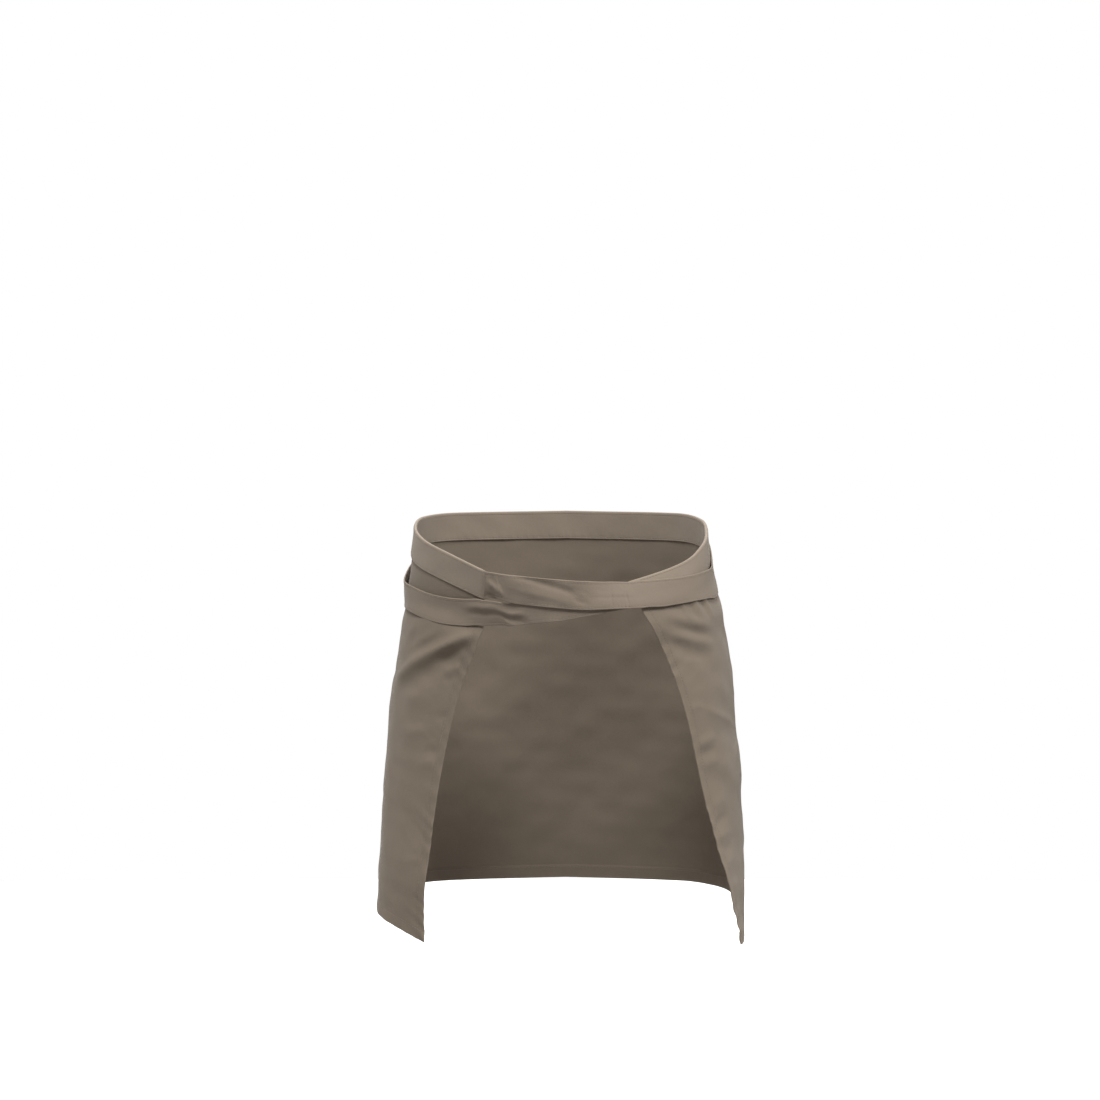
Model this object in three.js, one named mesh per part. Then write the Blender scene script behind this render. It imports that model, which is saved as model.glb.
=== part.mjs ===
import * as THREE from 'three';
import { mergeVertices } from 'three/addons/utils/BufferGeometryUtils.js';

// Short waist apron in its worn form: a rectangular panel sewn into a folded waistband, with a
// long flat tie at each end of the band. The ties cross behind and are knotted in front.
// Lengths are in millimetres. +Z is up and the front faces -Y, so +X is the wearer's left.
// The origin is the middle of the waist opening, level with the middle of the band in front.

// Cut sizes of the cloth
const panel_width = 700;
const panel_drop = 376;
const side_hem_width = 9;
const bottom_hem_width = 12;
const band_height = 28;
const band_overlap = 10;
const tie_width = 28;
const left_tail_length = 225;
const right_tail_length = 205;

// Thickness of the cloth and the gaps between pieces
const cloth_thickness = 1.2;
const hem_thickness = 2.0;
const band_thickness = 3.8;
const tie_thickness = 1.6;
const hem_step = 0.8;
const seam_gap = 0.3;
const layer_gap = 0.6;

// Knot in front
const knot_width = 34;
const knot_height = 32;
const knot_depth = 15;

// Form of the waist, and how far the cloth spreads at the hem
const waist_half_width = 145.5;
const waist_front_depth = 119;
const waist_back_depth = 98;
const hem_half_width = 184;
const hem_front_depth = 126;
const section_exponent = 2.25;

// How far the band's two ends hang below its front, and how far the apron has turned round
const left_end_drop = 61;
const right_end_drop = 71.5;
const turned_to_right = 6;

// Height and breadth of the folds that the ties pull into the panel
const fold_height = 4;
const fold_breadth = 11;

// Levels of the panel from its top edge (drop 0) to the hem (drop 1), on the wearer's left and
// right. spread is the share of the way from the waist's half width and front depth to the hem's.
// back is the depth of the back half as a share of waist_back_depth.
const levels = [
  { drop: 0.0, spread_left: 0.0, spread_right: 0.0, back_left: 1.0, back_right: 1.0 },
  { drop: 0.08, spread_left: 0.08, spread_right: 0.06, back_left: 0.94, back_right: 1.13 },
  { drop: 0.15, spread_left: 0.14, spread_right: 0.22, back_left: 0.875, back_right: 1.165 },
  { drop: 0.2, spread_left: 0.2, spread_right: 0.37, back_left: 0.905, back_right: 1.135 },
  { drop: 0.3, spread_left: 0.4, spread_right: 0.55, back_left: 0.905, back_right: 1.17 },
  { drop: 0.4, spread_left: 0.555, spread_right: 0.68, back_left: 0.89, back_right: 1.215 },
  { drop: 0.5, spread_left: 0.67, spread_right: 0.77, back_left: 0.9, back_right: 1.255 },
  { drop: 0.6, spread_left: 0.755, spread_right: 0.85, back_left: 0.915, back_right: 1.33 },
  { drop: 0.75, spread_left: 0.86, spread_right: 0.93, back_left: 0.935, back_right: 1.56 },
  { drop: 0.9, spread_left: 0.97, spread_right: 0.955, back_left: 0.9, back_right: 2.3 },
  { drop: 1.0, spread_left: 1.0, spread_right: 0.955, back_left: 0.857, back_right: 3.25 },
];

// The apron's top line from the front (way 0) to each end of the band (way 1), as shares of
// left_end_drop and right_end_drop.
const top_line = [
  { way: 0.0, left: 0.0, right: 0.0 },
  { way: 0.35, left: 0.04, right: 0.04 },
  { way: 0.5, left: 0.11, right: 0.14 },
  { way: 0.62, left: 0.245, right: 0.335 },
  { way: 0.7, left: 0.38, right: 0.49 },
  { way: 0.78, left: 0.53, right: 0.67 },
  { way: 0.86, left: 0.685, right: 0.805 },
  { way: 0.93, left: 0.835, right: 0.905 },
  { way: 1.0, left: 1.0, right: 1.0 },
];

// Routes of the two ties. way goes round the body: 0 is the front, 1 the band's left end, 2 its
// right end and 3 the front again. top is how far the tie's upper edge lies below the apron's top
// line and height is how tall it shows there, both in tie widths, so a sloping stretch is taller
// than 1. out_top and out_bottom say how far out its two edges lie: 0 is in line with the band and
// 1 is flat on top of it. knot is the share of the way out to the middle of the knot.
const left_tie_route = [
  { way: 1.0, top: 0.0, height: 1.0, out_top: 0.0, out_bottom: 0.0, knot: 0 },
  { way: 1.04, top: 0.0, height: 0.93, out_top: 0.0, out_bottom: 0.0, knot: 0 },
  { way: 1.15, top: 0.0, height: 0.95, out_top: 0.9, out_bottom: 0.9, knot: 0 },
  { way: 1.22, top: 0.0, height: 1.0, out_top: 1.0, out_bottom: 1.0, knot: 0 },
  { way: 2.0, top: 0.05, height: 1.03, out_top: 1.0, out_bottom: 1.0, knot: 0 },
  { way: 2.06, top: 0.2, height: 1.01, out_top: 1.0, out_bottom: 0.98, knot: 0 },
  { way: 2.12, top: 0.35, height: 0.95, out_top: 1.0, out_bottom: 0.95, knot: 0 },
  { way: 2.18, top: 0.49, height: 0.93, out_top: 1.05, out_bottom: 0.9, knot: 0 },
  { way: 2.24, top: 0.64, height: 0.99, out_top: 1.13, out_bottom: 0.82, knot: 0 },
  { way: 2.3, top: 0.86, height: 1.12, out_top: 1.25, out_bottom: 0.7, knot: 0 },
  { way: 2.38, top: 1.0, height: 1.27, out_top: 1.35, out_bottom: 0.65, knot: 0 },
  { way: 2.5, top: 0.55, height: 1.22, out_top: 1.2, out_bottom: 0.9, knot: 0 },
  { way: 2.65, top: 0.14, height: 1.1, out_top: 1.05, out_bottom: 1.05, knot: 0 },
  { way: 2.8, top: 0.03, height: 1.0, out_top: 1.0, out_bottom: 1.0, knot: 0 },
  { way: 2.9, top: 0.05, height: 0.9, out_top: 1.0, out_bottom: 1.0, knot: 0.15 },
  { way: 3.0, top: 0.18, height: 0.64, out_top: 1.0, out_bottom: 1.0, knot: 1 },
];
const right_tie_route = [
  { way: 0.0, top: 0.18, height: 0.64, out_top: 1.0, out_bottom: 1.0, knot: 1 },
  { way: 0.1, top: 0.07, height: 0.9, out_top: 1.0, out_bottom: 1.0, knot: 0.15 },
  { way: 0.2, top: 0.34, height: 1.02, out_top: 1.0, out_bottom: 1.0, knot: 0 },
  { way: 0.35, top: 0.85, height: 1.06, out_top: 1.1, out_bottom: 0.95, knot: 0 },
  { way: 0.5, top: 1.45, height: 1.02, out_top: 1.25, out_bottom: 0.75, knot: 0 },
  { way: 0.64, top: 1.88, height: 0.97, out_top: 1.4, out_bottom: 0.62, knot: 0 },
  { way: 0.7, top: 1.79, height: 0.95, out_top: 1.35, out_bottom: 0.62, knot: 0 },
  { way: 0.76, top: 1.71, height: 0.95, out_top: 1.25, out_bottom: 0.62, knot: 0 },
  { way: 0.82, top: 1.65, height: 0.96, out_top: 1.12, out_bottom: 0.64, knot: 0 },
  { way: 0.88, top: 1.51, height: 1.0, out_top: 1.03, out_bottom: 0.7, knot: 0 },
  { way: 0.94, top: 1.27, height: 1.02, out_top: 1.0, out_bottom: 0.78, knot: 0 },
  { way: 1.0, top: 1.0, height: 0.97, out_top: 1.0, out_bottom: 0.9, knot: 0 },
  { way: 1.03, top: 0.99, height: 0.93, out_top: 0.9, out_bottom: 0.9, knot: 0 },
  { way: 1.15, top: 1.02, height: 0.82, out_top: 0.0, out_bottom: 0.0, knot: 0 },
  { way: 1.24, top: 0.82, height: 0.91, out_top: 0.0, out_bottom: 0.0, knot: 0 },
  { way: 1.36, top: 0.61, height: 0.98, out_top: 0.0, out_bottom: 0.0, knot: 0 },
  { way: 1.5, top: 0.46, height: 1.0, out_top: 0.0, out_bottom: 0.0, knot: 0 },
  { way: 1.78, top: 0.15, height: 1.0, out_top: 0.0, out_bottom: 0.0, knot: 0 },
  { way: 2.0, top: 0.0, height: 1.0, out_top: 0.0, out_bottom: 0.0, knot: 0 },
];

// Folds in the panel, each a long soft ridge (height above 0) or valley (below 0) that runs
// between two places. from_way and to_way are shares of the half width, towards the wearer's left
// above 0. from_drop and to_drop are shares of the panel's drop. height and breadth are shares of
// fold_height and fold_breadth.
const folds = [
  { from_way: 0.983, from_drop: 0.174, to_way: 0.757, to_drop: 0.38, height: 0.9, breadth: 0.75 },
  { from_way: 0.966, from_drop: 0.234, to_way: 0.777, to_drop: 0.426, height: -0.5, breadth: 1.1 },
  { from_way: -0.972, from_drop: 0.168, to_way: -0.81, to_drop: 0.234, height: 0.6, breadth: 0.7 },
  { from_way: -0.966, from_drop: 0.21, to_way: -0.83, to_drop: 0.27, height: -0.4, breadth: 1.0 },
  { from_way: 0.55, from_drop: 0.5, to_way: 0.5, to_drop: 1.1, height: 0.7, breadth: 2.6 },
  { from_way: 0.26, from_drop: 0.45, to_way: 0.24, to_drop: 1.1, height: -0.6, breadth: 2.8 },
  { from_way: -0.04, from_drop: 0.5, to_way: -0.02, to_drop: 1.1, height: 0.7, breadth: 2.6 },
  { from_way: -0.3, from_drop: 0.45, to_way: -0.28, to_drop: 1.1, height: -0.6, breadth: 2.8 },
  { from_way: -0.58, from_drop: 0.5, to_way: -0.54, to_drop: 1.1, height: 0.7, breadth: 2.6 },
];

// Number of steps in the meshes and in the tables of length worked out below
const half_panel_cells = 28;
const gap_cells = 14;
const panel_rows = 20;
const tie_rows = 2;
const tail_rows = 14;
const section_steps = 180;
const arc_steps = 200;
const fall_step = 6;

// Distances out from the middle of the cloth, worked out from the thicknesses
const out_step = band_thickness / 2 + layer_gap + tie_thickness / 2;
const knot_out = band_thickness / 2 + seam_gap + knot_depth / 2;
const tail_out = cloth_thickness / 2 + layer_gap + fold_height + tie_thickness / 2;

const half_panel = panel_width / 2;
const slot_top = band_height - band_overlap;
const slot_half = cloth_thickness / 2 + seam_gap;
const band_edge = band_height + seam_gap;
const side_hem_top = band_edge + hem_step;

function mix(from, to, share) {
  return from + (to - from) * share;
}

function smoothStep(from, to, value) {
  const share = Math.min(Math.max((value - from) / (to - from), 0), 1);
  return share * share * (3 - 2 * share);
}

// One column of a table, read along a smooth curve that passes through every row and never swings
// past two neighbouring rows.
function readTable(table, key, column, at) {
  const last = table.length - 1;
  let row = 0;
  while (row < last - 1 && table[row + 1][key] < at) row += 1;
  const spanAfter = (k) => table[k + 1][key] - table[k][key];
  const slopeAfter = (k) => (table[k + 1][column] - table[k][column]) / spanAfter(k);
  const tangent = (k) => {
    if (k === 0) return slopeAfter(0);
    if (k === last) return slopeAfter(last - 1);
    const before = slopeAfter(k - 1);
    const after = slopeAfter(k);
    return before * after > 0 ? (2 * before * after) / (before + after) : 0;
  };
  const span = spanAfter(row);
  const t = (at - table[row][key]) / span;
  const start = table[row][column];
  const rise = table[row + 1][column] - start;
  const bend_in = tangent(row) * span;
  const bend_out = tangent(row + 1) * span;
  const square = 3 * rise - 2 * bend_in - bend_out;
  const cube = bend_in + bend_out - 2 * rise;
  return start + bend_in * t + square * t ** 2 + cube * t ** 3;
}

// Plan section of one half of the body at a level: a rounded oval from the middle of the front
// round the side to the middle of the back, with its running length at each step.
function halfSection(level, side) {
  const spread = readTable(levels, 'drop', `spread_${side}`, level);
  const half_width = mix(waist_half_width, hem_half_width, spread);
  const front_depth = mix(waist_front_depth, hem_front_depth, spread);
  const back_depth = waist_back_depth * readTable(levels, 'drop', `back_${side}`, level);
  const power = 2 / section_exponent;
  const points = [];
  const lengths = [];
  for (let step = 0; step <= section_steps; step += 1) {
    const angle = (Math.PI * step) / section_steps;
    const across = Math.abs(Math.sin(angle)) ** power;
    const along = Math.abs(Math.cos(angle)) ** power;
    const depth = step * 2 < section_steps ? -front_depth : back_depth;
    const point = new THREE.Vector2(half_width * across, depth * along);
    lengths.push(step === 0 ? 0 : lengths[step - 1] + point.distanceTo(points[step - 1]));
    points.push(point);
  }
  return { points, lengths, total: lengths[section_steps] };
}

const section_store = new Map();
function storedSection(level, side) {
  const name = `${side} ${level.toFixed(6)}`;
  if (!section_store.has(name)) section_store.set(name, halfSection(level, side));
  return section_store.get(name);
}

// Point of a half section at a length from the middle of the front.
function pointOnSection(section, length) {
  let low = 0;
  let high = section_steps;
  while (high - low > 1) {
    const middle = (low + high) >> 1;
    if (section.lengths[middle] > length) high = middle;
    else low = middle;
  }
  const share = (length - section.lengths[low]) / (section.lengths[high] - section.lengths[low]);
  return section.points[low].clone().lerp(section.points[high], share);
}

const end_drop = { left: left_end_drop, right: right_end_drop };

// How far the top line has sunk at a share of the half panel, on one side.
function topDrop(side, share) {
  return end_drop[side] * readTable(top_line, 'way', side, share);
}

// Where the top line slopes, its length in plan is shorter than along the cloth. This is the
// length in plan for each step along the half panel.
function planLengths(side) {
  const lengths = [0];
  const step = half_panel / arc_steps;
  for (let k = 1; k <= arc_steps; k += 1) {
    const fall = topDrop(side, k / arc_steps) - topDrop(side, (k - 1) / arc_steps);
    lengths.push(lengths[k - 1] + Math.sqrt(step * step - fall * fall));
  }
  return lengths;
}
const plan_lengths = { left: planLengths('left'), right: planLengths('right') };

function planLength(side, share) {
  const at = share * arc_steps;
  const low = Math.min(Math.floor(at), arc_steps - 1);
  return mix(plan_lengths[side][low], plan_lengths[side][low + 1], at - low);
}

const end_length = {
  left: plan_lengths.left[arc_steps] - turned_to_right,
  right: plan_lengths.right[arc_steps] + turned_to_right,
};

// Place in plan of the cloth at a way round the body and a level. In the open back, between way 1
// and way 2, the two halves run on to meet at the middle and the section fades to the waist's.
function planPoint(way, level) {
  if (way > 1 && way < 2) {
    const gap = way - 1;
    const side = gap < 0.5 ? 'left' : 'right';
    const fade = Math.cos(Math.PI * gap) ** 2;
    const section = storedSection(level * fade, side);
    const share = side === 'left' ? 2 * gap : 2 * (1 - gap);
    const point = pointOnSection(section, mix(end_length[side], section.total, share));
    return side === 'left' ? point : new THREE.Vector2(-point.x, point.y);
  }
  const cloth_side = way >= 0 ? 'left' : 'right';
  const length = Math.sign(way) * planLength(cloth_side, Math.abs(way)) - turned_to_right;
  const side = length >= 0 ? 'left' : 'right';
  const point = pointOnSection(storedSection(level, side), Math.abs(length));
  return side === 'left' ? point : new THREE.Vector2(-point.x, point.y);
}

function topHeight(way) {
  const front = band_height / 2;
  if (way > 1 && way < 2) {
    const gap = way - 1;
    return front - mix(left_end_drop, right_end_drop, 1 - (1 - gap) ** 2);
  }
  return front - topDrop(way >= 0 ? 'left' : 'right', Math.abs(way));
}

// One thread of the cloth that hangs down from the top line: each short length of it sinks by
// what is left of that length after its move in plan.
const thread_store = new Map();
function hangingThread(way) {
  const name = way.toFixed(7);
  if (thread_store.has(name)) return thread_store.get(name);
  const steps = Math.ceil(panel_drop / fall_step);
  const step = panel_drop / steps;
  const points = [];
  let height = topHeight(way);
  for (let k = 0; k <= steps; k += 1) {
    const plan = planPoint(way, k / steps);
    if (k > 0) {
      const move = Math.hypot(plan.x - points[k - 1].x, plan.y - points[k - 1].y);
      height -= Math.sqrt(step * step - move * move);
    }
    points.push(new THREE.Vector3(plan.x, plan.y, height));
  }
  thread_store.set(name, { points, step });
  return thread_store.get(name);
}

// Middle of the cloth at a way round the body and a drop below the top line, both measured along
// the cloth. Ways from 2 to 3 are the wearer's right side, counted from the band's right end.
function clothPoint(way, drop) {
  const thread = hangingThread(way >= 2 ? way - 3 : way);
  const at = drop / thread.step;
  const low = Math.min(Math.max(Math.floor(at), 0), thread.points.length - 2);
  return thread.points[low].clone().lerp(thread.points[low + 1], at - low);
}

// Outward direction of the cloth, square to the way round and to the way down.
function clothNormal(way, drop) {
  const way_reach = 0.004;
  const drop_reach = fall_step;
  const round = clothPoint(way + way_reach, drop).sub(clothPoint(way - way_reach, drop));
  const down = clothPoint(way, drop + drop_reach).sub(clothPoint(way, Math.max(drop - drop_reach, 0)));
  return down.cross(round).normalize();
}

function placeOut(way, drop, out) {
  return clothPoint(way, drop).addScaledVector(clothNormal(way, drop), out);
}

// Closed wall between an outer and an inner grid of points. The first index goes round the body
// towards the wearer's left, and the second goes down.
function wallGeometry(outer, inner) {
  const columns = outer.length;
  const rows = outer[0].length;
  const positions = [outer, inner].flat(2).flatMap((point) => point.toArray());
  const triangles = [];
  const quad = (a, b, c, d) => triangles.push(a, b, c, a, c, d);
  const out = (i, j) => i * rows + j;
  const back = (i, j) => columns * rows + i * rows + j;
  for (let i = 0; i < columns - 1; i += 1) {
    for (let j = 0; j < rows - 1; j += 1) {
      quad(out(i, j), out(i, j + 1), out(i + 1, j + 1), out(i + 1, j));
      quad(back(i, j), back(i + 1, j), back(i + 1, j + 1), back(i, j + 1));
    }
    quad(out(i, 0), out(i + 1, 0), back(i + 1, 0), back(i, 0));
    quad(out(i, rows - 1), back(i, rows - 1), back(i + 1, rows - 1), out(i + 1, rows - 1));
  }
  for (let j = 0; j < rows - 1; j += 1) {
    quad(out(0, j), back(0, j), back(0, j + 1), out(0, j + 1));
    quad(out(columns - 1, j), out(columns - 1, j + 1), back(columns - 1, j + 1), back(columns - 1, j));
  }
  const geometry = new THREE.BufferGeometry();
  geometry.setAttribute('position', new THREE.Float32BufferAttribute(positions, 3));
  geometry.setIndex(triangles);
  geometry.computeVertexNormals();
  return geometry;
}

// Ways of the panel's columns, evenly spaced, with two close ones where each side hem starts.
function panelWays() {
  const hem = 1 - side_hem_width / half_panel;
  const hem_foot = hem - hem_step / half_panel;
  const ways = [-1, -hem, -hem_foot];
  for (let k = 1 - half_panel_cells; k < half_panel_cells; k += 1) {
    const way = k / half_panel_cells;
    if (Math.abs(way) < hem_foot) ways.push(way);
  }
  ways.push(hem_foot, hem, 1);
  return ways;
}

// Drops of the panel's rows: the stretch inside the band, then even rows, then the bottom hem.
function panelDrops() {
  const hem = panel_drop - bottom_hem_width;
  const drops = [slot_top + seam_gap, band_edge, side_hem_top];
  for (let k = 1; k < panel_rows; k += 1) {
    drops.push(mix(side_hem_top, hem - hem_step, k / panel_rows));
  }
  drops.push(hem - hem_step, hem, panel_drop);
  return drops;
}

// Height of the folds at a place on the panel, in millimetres out from the smooth form.
function foldHeight(way, drop) {
  let height = 0;
  folds.forEach((fold) => {
    const start = new THREE.Vector2(fold.from_way * half_panel, fold.from_drop * panel_drop);
    const end = new THREE.Vector2(fold.to_way * half_panel, fold.to_drop * panel_drop);
    const line = end.clone().sub(start);
    const place = new THREE.Vector2(way * half_panel, drop).sub(start);
    const along = place.dot(line) / line.lengthSq();
    const aside = place.cross(line) / line.length() / (fold.breadth * fold_breadth);
    const taper = smoothStep(-0.1, 0.35, along) * smoothStep(1.2, 0.6, along);
    height += fold.height * fold_height * Math.exp(-aside * aside) * taper;
  });
  return height;
}

// The panel: a thin wall whose side and bottom hems are turned in, so they are thicker inside.
function makePanel() {
  const ways = panelWays();
  const drops = panelDrops();
  const hem_way = 1 - side_hem_width / half_panel;
  const hem_drop = panel_drop - bottom_hem_width;
  const outer = [];
  const inner = [];
  ways.forEach((way) => {
    const outer_line = [];
    const inner_line = [];
    drops.forEach((drop) => {
      const middle = foldHeight(way, drop);
      const in_hem = drop >= hem_drop || (drop >= side_hem_top && Math.abs(way) >= hem_way);
      const inside = in_hem ? hem_thickness - cloth_thickness / 2 : cloth_thickness / 2;
      outer_line.push(placeOut(way, drop, middle + cloth_thickness / 2));
      inner_line.push(placeOut(way, drop, middle - inside));
    });
    outer.push(outer_line);
    inner.push(inner_line);
  });
  return wallGeometry(outer, inner);
}

// The waistband: one strip folded over its top edge, with the panel's top edge between its leaves.
// Its section runs from the inner leaf's foot over the top to the outer leaf's foot.
function makeBand() {
  const half = band_thickness / 2;
  const skin = [
    { drop: band_height, out: -half },
    { drop: 0, out: -half },
    { drop: 0, out: half },
    { drop: band_height, out: half },
  ];
  const slot = [
    { drop: band_height, out: -slot_half },
    { drop: slot_top, out: -slot_half },
    { drop: slot_top, out: slot_half },
    { drop: band_height, out: slot_half },
  ];
  const ways = panelWays();
  const sweep = (section) => ways.map((way) => (
    section.map((corner) => placeOut(way, corner.drop, corner.out))
  ));
  return wallGeometry(sweep(skin), sweep(slot));
}

// Ways along a tie: the panel's own columns where it passes them, and even steps across the back.
function tieWays(from, to) {
  const ways = [from];
  const columns = [];
  for (let k = 0; k < half_panel_cells; k += 1) columns.push(k / half_panel_cells);
  for (let k = 0; k < gap_cells; k += 1) columns.push(1 + k / gap_cells);
  for (let k = 0; k < half_panel_cells; k += 1) columns.push(2 + k / half_panel_cells);
  const least = 0.2 / half_panel_cells;
  columns.forEach((way) => {
    if (way > from + least && way < to - least) ways.push(way);
  });
  ways.push(to);
  return ways;
}

// One tie: a flat strip from its end of the waistband round the body to the knot.
function makeTie(route, from, to) {
  const outer = [];
  const inner = [];
  tieWays(from, to).forEach((way) => {
    const read = (column) => readTable(route, 'way', column, way);
    const top = read('top') * tie_width;
    const height = read('height') * tie_width;
    const outer_line = [];
    const inner_line = [];
    for (let row = 0; row <= tie_rows; row += 1) {
      const share = row / tie_rows;
      const lying = mix(read('out_top'), read('out_bottom'), share) * out_step;
      const middle = mix(lying, knot_out, read('knot'));
      outer_line.push(placeOut(way, top + height * share, middle + tie_thickness / 2));
      inner_line.push(placeOut(way, top + height * share, middle - tie_thickness / 2));
    }
    outer.push(outer_line);
    inner.push(inner_line);
  });
  return wallGeometry(outer, inner);
}

// One free end of a tie: it comes out of the knot's foot gathered, spreads and hangs down.
function makeTail(side, length) {
  const top = band_height / 2 + knot_height / 2 + seam_gap;
  const outer = [];
  const inner = [];
  for (let column = -1; column <= 1; column += 1) {
    const outer_line = [];
    const inner_line = [];
    for (let row = 0; row <= tail_rows; row += 1) {
      const share = row / tail_rows;
      const opened = smoothStep(0, 0.3, share);
      const middle = side * mix(knot_width / 4, knot_width, share ** 0.7);
      const half_width = mix(knot_width / 5, tie_width / 2, opened);
      const way = (middle + column * half_width) / half_panel;
      const out = mix(knot_out, tail_out, opened);
      outer_line.push(placeOut(way, top + length * share, out + tie_thickness / 2));
      inner_line.push(placeOut(way, top + length * share, out - tie_thickness / 2));
    }
    outer.push(outer_line);
    inner.push(inner_line);
  }
  return wallGeometry(outer, inner);
}

// The knot: a closed pad with rounded sides, over the middle of the band's front.
function makeKnot() {
  const power = 3.5;
  const ball = new THREE.SphereGeometry(1, 20, 14);
  ball.deleteAttribute('normal');
  ball.deleteAttribute('uv');
  const geometry = mergeVertices(ball);
  const position = geometry.getAttribute('position');
  const middle = placeOut(0, band_height / 2, knot_out);
  const outward = clothNormal(0, band_height / 2);
  const upward = new THREE.Vector3(0, 0, 1);
  const sideways = new THREE.Vector3().crossVectors(upward, outward).normalize();
  for (let k = 0; k < position.count; k += 1) {
    const ray = new THREE.Vector3().fromBufferAttribute(position, k);
    const sum = Math.abs(ray.x) ** power + Math.abs(ray.y) ** power + Math.abs(ray.z) ** power;
    ray.multiplyScalar(sum ** (-1 / power) / 2);
    const place = middle.clone().addScaledVector(sideways, ray.x * knot_width);
    place.addScaledVector(upward, ray.y * knot_height);
    place.addScaledVector(outward, ray.z * knot_depth);
    position.setXYZ(k, place.x, place.y, place.z);
  }
  geometry.computeVertexNormals();
  return geometry;
}

const apron = new THREE.Group();
apron.name = 'waist_apron';

function addPiece(name, geometry, colour) {
  const material = new THREE.MeshStandardMaterial({ color: colour, roughness: 0.88, metalness: 0 });
  const mesh = new THREE.Mesh(geometry, material);
  mesh.name = name;
  apron.add(mesh);
}

// Where each tie starts, a seam's gap beyond its end of the band, and where both stop at the knot
const left_start = 1 + seam_gap / (2 * (storedSection(0, 'left').total - end_length.left));
const right_start = 2 - seam_gap / (2 * (storedSection(0, 'right').total - end_length.right));
const knot_way = (knot_width / 2 + seam_gap) / half_panel;

addPiece('apron_panel', makePanel(), 0x7d7366);
addPiece('waistband', makeBand(), 0x867c6f);
addPiece('tie_left', makeTie(left_tie_route, left_start, 3 - knot_way), 0x897f71);
addPiece('tie_right', makeTie(right_tie_route, knot_way, right_start), 0x857b6e);
addPiece('front_knot', makeKnot(), 0x82786b);
addPiece('tail_left', makeTail(1, left_tail_length), 0x847a6d);
addPiece('tail_right', makeTail(-1, right_tail_length), 0x847a6d);

export default apron;
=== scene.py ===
# %% [markdown]
# # A short waist apron, worn and seen from behind
#
# The apron is one rectangle of fine taupe twill with narrow turned hems. Its top edge is sewn into
# a folded waistband, and the band runs on at both ends into long flat ties that cross at the back
# and are knotted in front. Every piece is a few layers of the same cloth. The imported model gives
# the frame: its solids are true in size and place, but each is a plain faceted wall. This file
# gives each piece its real thickness, rounded folds, puckers, stitches and weave.

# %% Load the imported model
import math

import bpy
import numpy as np
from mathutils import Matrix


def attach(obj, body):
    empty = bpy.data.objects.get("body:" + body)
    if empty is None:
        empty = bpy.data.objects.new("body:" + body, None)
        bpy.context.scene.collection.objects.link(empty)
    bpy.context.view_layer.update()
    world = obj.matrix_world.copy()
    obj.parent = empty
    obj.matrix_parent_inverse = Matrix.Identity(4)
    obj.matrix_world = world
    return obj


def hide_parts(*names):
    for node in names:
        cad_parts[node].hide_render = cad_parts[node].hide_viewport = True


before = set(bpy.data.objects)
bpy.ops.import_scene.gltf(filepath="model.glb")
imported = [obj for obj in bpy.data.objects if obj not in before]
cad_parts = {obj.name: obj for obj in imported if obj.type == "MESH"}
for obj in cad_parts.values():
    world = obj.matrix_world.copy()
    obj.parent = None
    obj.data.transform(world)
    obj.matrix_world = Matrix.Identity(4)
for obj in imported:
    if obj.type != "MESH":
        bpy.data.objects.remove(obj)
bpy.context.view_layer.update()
print("nodes of the packed model:", ", ".join(sorted(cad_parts)))

# %% [markdown]
# ## The camera, the floor and the light
#
# The apron was photographed from straight behind with a long lens, a little under the height of
# its waist, in an even white studio. A long lens could be imitated with an orthographic camera,
# but the far side of the waist is slightly smaller than the near side here, so a real camera at a
# real distance is used. A large pale floor lies a metre below the waist. The light is a dim white
# room and four soft lamps. One lamp could do, but in the photograph both sides and the ties are
# lit, so there is a lamp on each side of the apron. Each is a sun with a broad disc, so that the
# floor is lit evenly. The strongest stand above the camera and at its right, and they give each
# fold a bright upper flank and a soft shadow.

# %% Camera
MM = 0.001


def add_object(name, data):
    """A new object in the scene, with its mesh, lamp or camera."""
    thing = bpy.data.objects.new(name, data)
    bpy.context.collection.objects.link(thing)
    return thing


camera_distance = 4.583
camera_aside = 11 * MM
camera_height = -26 * MM
camera_data = bpy.data.cameras.new("camera")
camera_data.lens = 150
camera_data.sensor_width = 36
camera = add_object("camera", camera_data)
camera.location = (camera_aside, camera_distance, camera_height)
camera.rotation_euler = (math.radians(90), 0, math.radians(180))
bpy.context.scene.camera = camera
bpy.context.scene.view_settings.view_transform = "Standard"
print("camera", round(camera_distance, 3), "m behind the apron")

# %% Floor
floor_height = -1.0
floor_radius = 9.0
turn = np.linspace(0, 2 * np.pi, 96, endpoint=False)
rim = floor_radius * np.stack([np.cos(turn), np.sin(turn), 0 * turn], 1)
rim[:, 2] = floor_height
floor_mesh = bpy.data.meshes.new("floor")
floor_mesh.from_pydata(rim.tolist(), [], [list(range(len(rim)))])
floor = add_object("floor", floor_mesh)
floor.visible_diffuse = False

floor_paint = bpy.data.materials.new("pale_floor")
floor_paint.use_nodes = True
floor_shader = floor_paint.node_tree.nodes["Principled BSDF"]
floor_shader.inputs["Base Color"].default_value = (0.97, 0.97, 0.97, 1)
floor_shader.inputs["Roughness"].default_value = 0.95
floor_mesh.materials.append(floor_paint)
print("floor at", floor_height, "m")

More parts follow.
